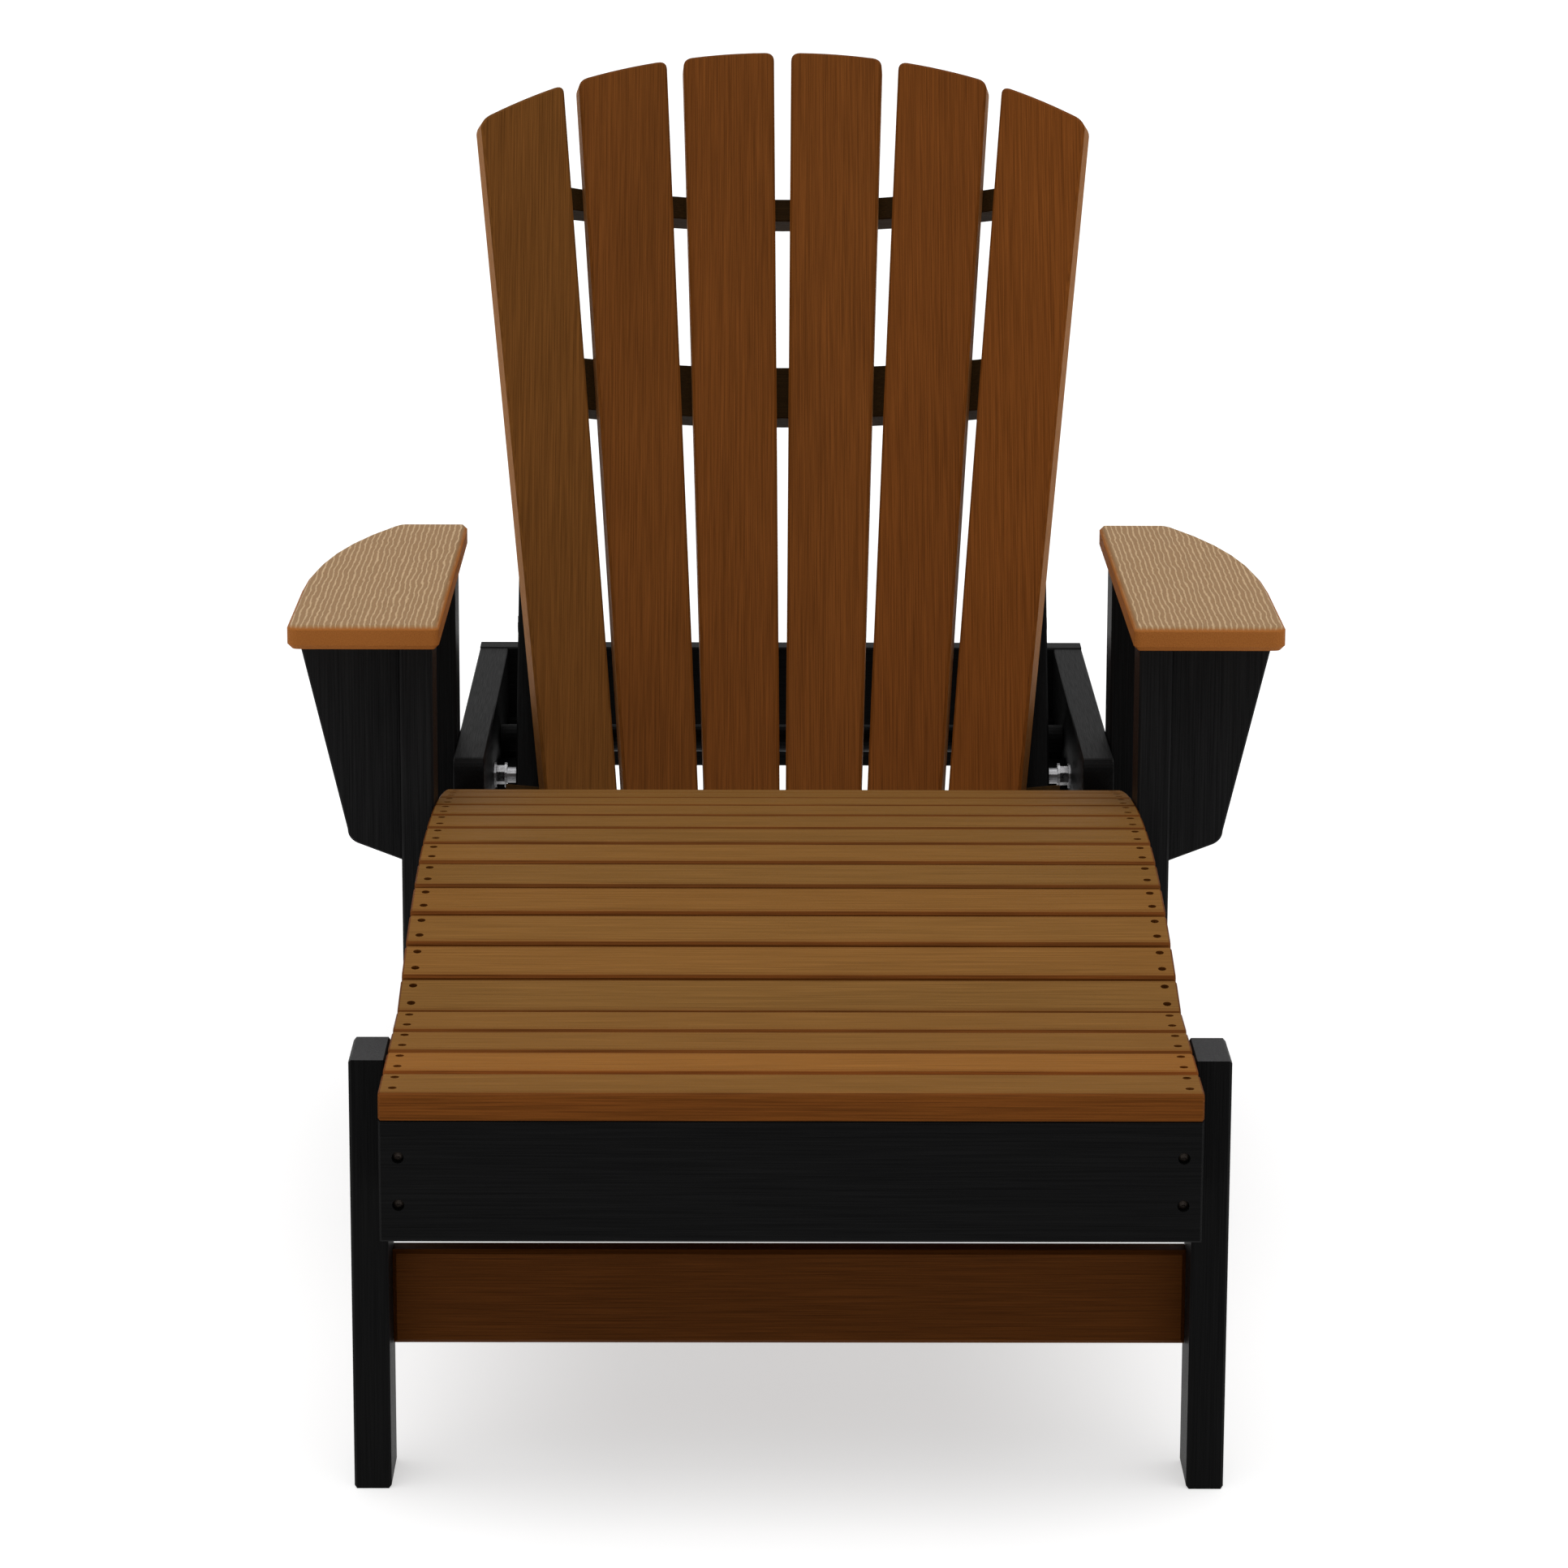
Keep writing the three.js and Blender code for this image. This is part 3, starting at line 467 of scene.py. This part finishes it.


# ------------------------------------------------------------------ black frame boards
# Side rails, aprons, legs, posts, brackets and racks in black plastic lumber, sawn to outline,
# with the fine extruded grain running along each board and lightly eased edges. The tops of the
# uprights are painted greyer as a painted highlight of the overhead light, and the posts and
# brackets under the arms are lifted to a slightly paler black as a painted highlight.

BLACK_DARK = (0.0022, 0.0022, 0.0023)
BLACK_LIGHT = (0.0050, 0.0050, 0.0051)
# Painted highlight: the upward faces of the legs, posts and brackets are greyer to stand in for the sheen of
# the overhead light.
TOP_HIGHLIGHT_DARK = (0.028, 0.028, 0.029)
TOP_HIGHLIGHT_LIGHT = (0.048, 0.048, 0.049)
# Painted highlight: the posts and brackets under the arms are lifted to a paler black to stand in for the
# highlight on them.
POST_HIGHLIGHT_TONE = 2.4


def black_lumber(name, grain, tone=1.0):
    dark = toned(BLACK_DARK, tone)
    light = toned(BLACK_LIGHT, tone)
    return plastic_lumber(name, dark, light, grain, roughness=0.42, gloss=0.035, relief=0.00018)


black_across = black_lumber("black_grain_across", ALONG_X)
black_lengthwise = black_lumber("black_grain_lengthwise", ALONG_Y)
# The upright and post materials carry the painted highlight on their upward faces.
black_upright = paler_face(black_lumber("black_grain_upright", ALONG_Z), TOP_HIGHLIGHT_DARK, TOP_HIGHLIGHT_LIGHT)
black_post = paler_face(black_lumber("black_grain_post", ALONG_Z, POST_HIGHLIGHT_TONE), TOP_HIGHLIGHT_DARK, TOP_HIGHLIGHT_LIGHT)
black_back = black_lumber("black_grain_up_the_back", UP_THE_BACK)
black_prop = black_lumber("black_grain_prop", ALONG_Z)

for name in ("front_apron", "rear_apron", "seat_rear_rail", "prop_bar"):
    finish(name, black_across)
for side in "lr":
    for name in (f"side_rail_{side}", f"rack_{side}"):
        finish(name, black_lengthwise)
    for name in (f"front_leg_{side}", f"rear_leg_{side}"):
        finish(name, black_upright, ease=0.001)
    for name in (f"arm_post_{side}", f"arm_bracket_{side}"):
        finish(name, black_post, ease=0.001)


# ------------------------------------------------------------------ arms
# Flat brown arms with their edges rounded over. The top is embossed with a coarse, wavy wood grain
# whose raised lines have picked up a paler tan; the edges keep the plain orange-brown.

ARM_EDGE_DARK = (0.265, 0.090, 0.0190)
ARM_EDGE_LIGHT = (0.340, 0.120, 0.0270)
ARM_TAN_DARK = (0.285, 0.172, 0.086)
ARM_TAN_LIGHT = (0.500, 0.345, 0.200)
EDGE_ROUNDING = 0.0032
EDGE_START = 0.0006
EMBOSS_SHARE = 1.2
EMBOSS_DEPTH = 0.0004


def make_embossed_grain():
    """Wavy raised lines running along Y, with breaks along their length."""
    group, start, end = new_group(
        "embossed grain",
        [("Vector", "NodeSocketVector", None)],
        ("Ridges", "Patches"),
    )
    squeeze = group.nodes.new("ShaderNodeVectorMath")
    squeeze.operation = "MULTIPLY"
    squeeze.inputs[1].default_value = (1.0, 0.34, 1.0)
    group.links.new(start.outputs["Vector"], squeeze.inputs[0])
    wave = group.nodes.new("ShaderNodeTexWave")
    wave.wave_type = "BANDS"
    wave.bands_direction = "X"
    wave.inputs["Scale"].default_value = 66.0
    wave.inputs["Distortion"].default_value = 4.6
    wave.inputs["Detail"].default_value = 3.0
    wave.inputs["Detail Scale"].default_value = 1.0
    wave.inputs["Detail Roughness"].default_value = 0.62
    group.links.new(squeeze.outputs[0], wave.inputs["Vector"])
    noise = group.nodes.new("ShaderNodeTexNoise")
    noise.inputs["Scale"].default_value = 420.0
    noise.inputs["Detail"].default_value = 3.0
    group.links.new(squeeze.outputs[0], noise.inputs["Vector"])
    ridges = math_node(group, "MULTIPLY", wave.outputs["Fac"], 0.7)
    ridges = math_node(group, "ADD", ridges, math_node(group, "MULTIPLY", noise.outputs["Fac"], 0.3))
    group.links.new(ridges, end.inputs["Ridges"])
    patches = group.nodes.new("ShaderNodeTexNoise")
    patches.inputs["Scale"].default_value = 9.0
    group.links.new(start.outputs["Vector"], patches.inputs["Vector"])
    group.links.new(patches.outputs["Fac"], end.inputs["Patches"])
    return group


embossed_grain = make_embossed_grain()


def arm_lumber(name, top):
    """Arm lumber: the tan embossed face above the given height, plain brown below it."""
    material = plastic_lumber(name, ARM_EDGE_DARK, ARM_EDGE_LIGHT, ALONG_Y)
    tree = material.node_tree
    shader = tree.nodes["Principled BSDF"]
    plain = shader.inputs["Base Color"].links[0].from_socket
    bump = shader.inputs["Normal"].links[0].from_node
    plain_height = bump.inputs["Height"].links[0].from_socket
    coordinates = tree.nodes.new("ShaderNodeTexCoord")
    marks = tree.nodes.new("ShaderNodeGroup")
    marks.node_tree = embossed_grain
    tree.links.new(coordinates.outputs["Object"], marks.inputs["Vector"])
    split = tree.nodes.new("ShaderNodeSeparateXYZ")
    tree.links.new(coordinates.outputs["Object"], split.inputs[0])
    on_top = spread(tree, split.outputs["Z"], top - EDGE_ROUNDING, top - EDGE_START)
    ridges = spread(tree, marks.outputs["Ridges"], 0.56, 0.86)
    tan = mixed_colour(tree, ridges, ARM_TAN_DARK, ARM_TAN_LIGHT)
    tree.links.new(mixed_colour(tree, on_top, plain, tan), shader.inputs["Base Color"])
    emboss = math_node(tree, "MULTIPLY", math_node(tree, "MULTIPLY", ridges, on_top), EMBOSS_SHARE)
    tree.links.new(math_node(tree, "ADD", emboss, plain_height), bump.inputs["Height"])
    bump.inputs["Distance"].default_value = EMBOSS_DEPTH
    return material


arm_top = max(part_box("arm_l")[1][2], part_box("arm_r")[1][2])
arm_material = arm_lumber("arm_embossed", arm_top)
for side in "lr":
    finish(f"arm_{side}", arm_material, ease=0.0012)


# ------------------------------------------------------------------ back slats
# Six tapered slats fanned over the hollow of the back, from the same brown lumber with its grain
# running up them, their top corners rounded and their outer sides painted paler than their faces
# as a painted highlight of light from the side.

# Painted highlight: the outer sides of the back slats are paler to stand in for light falling from the side.
SIDE_HIGHLIGHT_DARK = (0.240, 0.098, 0.028)
SIDE_HIGHLIGHT_LIGHT = (0.340, 0.150, 0.050)
SIDE_HIGHLIGHT_START = 0.7
BACK_TONES = ((1.25, -0.17), (1.04, -0.03), (1.06, 0.0), (1.08, 0.0), (1.08, 0.03), (1.18, 0.03))

for number, tone in enumerate(BACK_TONES, start=1):
    name = f"back_slat_{number}"
    brown = plastic_lumber(f"brown_{name}", toned(BROWN_DARK, *tone), toned(BROWN_LIGHT, *tone), UP_THE_BACK)
    outward = Vector((-1, 0, 0)) if number <= len(BACK_TONES) / 2 else Vector((1, 0, 0))
    # The outward sides get the painted highlight.
    paler_face(brown, SIDE_HIGHLIGHT_DARK, SIDE_HIGHLIGHT_LIGHT, outward, start=SIDE_HIGHLIGHT_START)
    finish(name, brown, ease=0.0012)


# ------------------------------------------------------------------ back frame and prop
# Two black stiles joined by brown cross rails that are sawn to the curve of the back, and the black
# prop legs that swing from the stiles. The rails stay in shadow, and that shadow is painted into
# their brown as a painted shade.

# Painted shade: the rails' brown is darkened to stand in for the shadow they sit in.
RAIL_PAINTED_SHADE_DARK = (0.022, 0.0105, 0.0026)
RAIL_PAINTED_SHADE_LIGHT = (0.037, 0.0185, 0.0050)
rail_brown_painted_shade = plastic_lumber("rail_brown_painted_shade", RAIL_PAINTED_SHADE_DARK, RAIL_PAINTED_SHADE_LIGHT, ALONG_X)
for name in ("back_rail_bottom", "back_rail_mid", "back_rail_top"):
    finish(name, rail_brown_painted_shade)
for side in "lr":
    finish(f"back_stile_{side}", black_back)
    finish(f"prop_leg_{side}", black_prop)


# ------------------------------------------------------------------ pivot hardware
# Zinc-plated bolts, nuts, washers and sleeves on the pivots of the back, and the pins of the prop.
# They are turned and pressed parts with a bright, slightly mottled plating.

STEEL_DARK = (0.16, 0.16, 0.165)
STEEL_LIGHT = (0.34, 0.34, 0.35)
bright_steel = mottled_metal(
    "plated_steel", STEEL_DARK, STEEL_LIGHT, scale=260.0, detail=4.0,
    smooth=0.2, rough=0.38, metallic=1.0, relief=0.00005)
for side in "lr":
    for name in (f"pivot_bolt_{side}", f"pivot_spacer_{side}", f"prop_pin_{side}"):
        finish(name, bright_steel, ease=0.0003)


# ------------------------------------------------------------------ floor
# A wide, plain studio floor, almost without texture. It glows a little by itself, so that the shadow
# under the chair stays faint.

FLOOR_DARK = (0.54, 0.54, 0.54)
FLOOR_LIGHT = (0.56, 0.56, 0.56)
FLOOR_GLOW = 0.55
FLOOR_HALF = 30.0


def studio_floor():
    material = bpy.data.materials.new("studio_floor")
    material.use_nodes = True
    tree = material.node_tree
    shader = tree.nodes["Principled BSDF"]
    shader.inputs["Roughness"].default_value = 0.9
    shader.inputs["Specular IOR Level"].default_value = 0.0
    noise = tree.nodes.new("ShaderNodeTexNoise")
    noise.inputs["Scale"].default_value = 2.0
    colour = mixed_colour(tree, noise.outputs["Fac"], FLOOR_DARK, FLOOR_LIGHT)
    tree.links.new(colour, shader.inputs["Base Color"])
    shader.inputs["Emission Color"].default_value = (1.0, 1.0, 1.0, 1.0)
    shader.inputs["Emission Strength"].default_value = FLOOR_GLOW
    return material


floor_mesh = bmesh.new()
bmesh.ops.create_grid(floor_mesh, x_segments=2, y_segments=2, size=FLOOR_HALF)
floor = object_from(floor_mesh, "floor", studio_floor())
floor.location.z = cad_box[0][2] - CLEARANCE


# ------------------------------------------------------------------ light
# One broad, very soft light from overhead, tipped a little towards the foot end, and a dim, even
# surround that fills in the shaded sides.

LIGHT_STRENGTH = 2.2
LIGHT_SPREAD = math.radians(75)
LIGHT_TIP = math.radians(9)
SURROUND_STRENGTH = 0.5

sky = bpy.data.lights.new("overhead", "SUN")
sky.energy = LIGHT_STRENGTH
sky.angle = LIGHT_SPREAD
overhead = bpy.data.objects.new("overhead", sky)
overhead.location = (0.0, 0.0, 4.0)
overhead.rotation_euler = (LIGHT_TIP, 0.0, 0.0)
bpy.context.scene.collection.objects.link(overhead)

world = bpy.data.worlds.new("surround")
world.use_nodes = True
world.node_tree.nodes["Background"].inputs["Color"].default_value = (1.0, 1.0, 1.0, 1.0)
world.node_tree.nodes["Background"].inputs["Strength"].default_value = SURROUND_STRENGTH
bpy.context.scene.world = world
bpy.context.scene.view_settings.view_transform = "Standard"


# ------------------------------------------------------------------ camera
# A long lens from in front of the foot end, a little above the chair and tipped down towards it.
# Its distance is measured from the foot end, and its height from the floor.

CAMERA_BACK = 3.778
CAMERA_HEIGHT = 1.446
CAMERA_SIDE = -0.0298
CAMERA_PITCH = math.radians(13.07)
CAMERA_YAW = math.radians(0.36)
CAMERA_ROLL = math.radians(0.18)
LENS = 124.5

lens = bpy.data.cameras.new("camera")
lens.lens = LENS
lens.sensor_width = 36.0
camera = bpy.data.objects.new("camera", lens)
camera.location = (CAMERA_SIDE, cad_box[0][1] - CAMERA_BACK, CAMERA_HEIGHT)
camera.rotation_mode = "XYZ"
facing = Matrix.Rotation(-CAMERA_YAW, 4, "Z") @ Matrix.Rotation(math.pi / 2 - CAMERA_PITCH, 4, "X")
camera.rotation_euler = (facing @ Matrix.Rotation(CAMERA_ROLL, 4, "Z")).to_euler()
bpy.context.scene.collection.objects.link(camera)
bpy.context.scene.camera = camera
